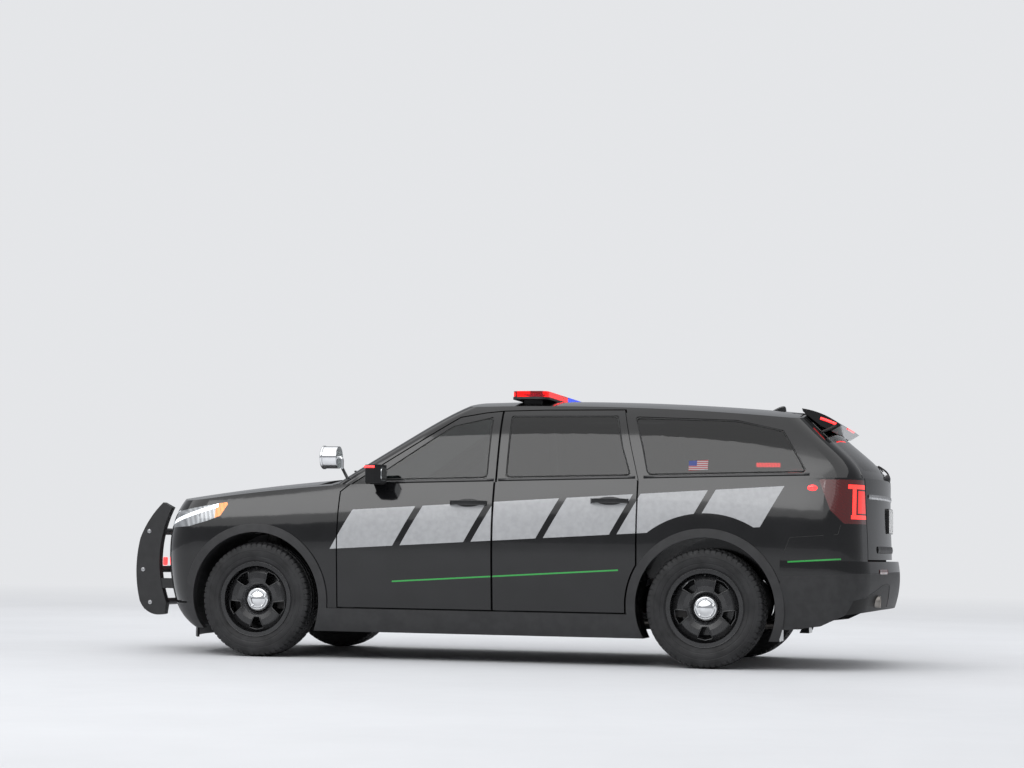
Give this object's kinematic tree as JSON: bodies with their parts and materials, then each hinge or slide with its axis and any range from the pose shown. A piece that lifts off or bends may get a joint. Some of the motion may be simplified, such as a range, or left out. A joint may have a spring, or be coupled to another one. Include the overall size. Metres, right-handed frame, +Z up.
{
  "type": "police sport utility vehicle",
  "caption": "Patrol sport utility vehicle with hollow cabin, opening doors, hood and tailgate, steered front wheels, push bumper, roof light bar and pillar spotlight.",
  "frame": {"origin": "centre of the footprint on the ground, midway between the axles", "axes": "+X towards the front of the vehicle, +Y towards its left side, +Z up"},
  "size_m": [5.3054, 2.2586, 1.792],
  "materials": {
    "body_paint": "gloss",
    "trim_black": "matte",
    "clear_lamp": "clear",
    "red_lamp": "gloss",
    "blue_lamp": "gloss",
    "tinted_glass": "clear",
    "wheel_steel": "satin",
    "tyre_rubber": "matte",
    "chassis_iron": "matte",
    "structure_steel": "satin",
    "exhaust_steel": "satin",
    "engine_alloy": "matte",
    "bumper_coating": "matte",
    "bright_metal": "polished",
    "seat_fabric": "matte",
    "dash_plastic": "matte"
  },
  "bodies": {
    "vehicle": {"body_shell": "body_paint", "fenders": "body_paint", "front_fascia": "body_paint", "grille": "trim_black", "headlamps": "clear_lamp", "tail_lamps": "red_lamp", "windscreen": "tinted_glass", "quarter_glass": "tinted_glass", "rear_bumper": "body_paint", "door_hinges": "structure_steel", "cladding": "trim_black", "front_structure": "structure_steel", "crash_beam": "structure_steel", "wheel_liners": "trim_black", "front_subframe": "chassis_iron", "rear_suspension": "chassis_iron", "exhaust": "exhaust_steel", "engine_block": "engine_alloy", "push_bumper": "bumper_coating", "light_bar_base": "trim_black", "light_bar_red": "red_lamp", "light_bar_blue": "blue_lamp", "spotlight": "bright_metal", "quarter_beacons": "trim_black", "front_seats": "seat_fabric", "rear_seat": "seat_fabric", "dashboard": "dash_plastic"},
    "hood_panel": {"hood": "body_paint"},
    "tailgate": {"liftgate": "body_paint", "liftgate_glass": "tinted_glass"},
    "door_front_left": {"door_fl": "body_paint", "glass_fl": "tinted_glass", "mirror_l": "body_paint"},
    "door_front_right": {"door_fr": "body_paint", "glass_fr": "tinted_glass", "mirror_r": "body_paint"},
    "door_rear_left": {"door_rl": "body_paint", "glass_rl": "tinted_glass"},
    "door_rear_right": {"door_rr": "body_paint", "glass_rr": "tinted_glass"},
    "knuckle_left": {"knuckle_l": "chassis_iron"},
    "knuckle_right": {"knuckle_r": "chassis_iron"},
    "wheel_front_left": {"rim_fl": "wheel_steel", "tyre_fl": "tyre_rubber"},
    "wheel_front_right": {"rim_fr": "wheel_steel", "tyre_fr": "tyre_rubber"},
    "wheel_rear_left": {"rim_rl": "wheel_steel", "tyre_rl": "tyre_rubber"},
    "wheel_rear_right": {"rim_rr": "wheel_steel", "tyre_rr": "tyre_rubber"},
    "hand_wheel": {"steering_wheel": "dash_plastic"}
  },
  "joints": [
    {"name": "steer_left", "type": "hinge", "parent": "vehicle", "child": "knuckle_left", "pos_m": [1.5125, 0.765, 0.238], "axis": [0, -0.2538, 0.9673], "range_deg": [-35, 35]},
    {"name": "steer_right", "type": "hinge", "parent": "vehicle", "child": "knuckle_right", "pos_m": [1.5125, -0.765, 0.238], "axis": [0, 0.2538, 0.9673], "range_deg": [-35, 35]},
    {"name": "steering_column", "type": "hinge", "parent": "vehicle", "child": "hand_wheel", "pos_m": [0.56, 0.395, 0.93], "axis": [-0.9135, 0, 0.4067], "range_deg": [-500, 500]},
    {"name": "spin_front_left", "type": "hinge", "parent": "knuckle_left", "child": "wheel_front_left", "pos_m": [1.5125, 0.85, 0.3815], "axis": [0, 1, 0], "continuous": true},
    {"name": "spin_front_right", "type": "hinge", "parent": "knuckle_right", "child": "wheel_front_right", "pos_m": [1.5125, -0.85, 0.3815], "axis": [0, 1, 0], "continuous": true},
    {"name": "spin_rear_left", "type": "hinge", "parent": "vehicle", "child": "wheel_rear_left", "pos_m": [-1.5125, 0.85, 0.3815], "axis": [0, 1, 0], "continuous": true},
    {"name": "spin_rear_right", "type": "hinge", "parent": "vehicle", "child": "wheel_rear_right", "pos_m": [-1.5125, -0.85, 0.3815], "axis": [0, 1, 0], "continuous": true},
    {"name": "open_front_left", "type": "hinge", "parent": "vehicle", "child": "door_front_left", "pos_m": [0.875, 0.963, 0.76], "axis": [0, 0, -1], "range_deg": [0, 70]},
    {"name": "open_front_right", "type": "hinge", "parent": "vehicle", "child": "door_front_right", "pos_m": [0.875, -0.963, 0.76], "axis": [0, 0, 1], "range_deg": [0, 70]},
    {"name": "open_rear_left", "type": "hinge", "parent": "vehicle", "child": "door_rear_left", "pos_m": [-0.183, 0.963, 0.76], "axis": [0, 0, -1], "range_deg": [0, 70]},
    {"name": "open_rear_right", "type": "hinge", "parent": "vehicle", "child": "door_rear_right", "pos_m": [-0.183, -0.963, 0.76], "axis": [0, 0, 1], "range_deg": [0, 70]},
    {"name": "open_hood", "type": "hinge", "parent": "vehicle", "child": "hood_panel", "pos_m": [1.106, 0, 1.146], "axis": [0, -1, 0], "range_deg": [0, 50]},
    {"name": "open_tailgate", "type": "hinge", "parent": "vehicle", "child": "tailgate", "pos_m": [-2.01, 0, 1.6416], "axis": [0, 1, 0], "range_deg": [0, 80]}
  ],
  "couplings": [
    {"joint": "steer_right", "follows": "steer_left", "ratio": 1},
    {"joint": "steering_column", "follows": "steer_left", "ratio": 14}
  ]
}
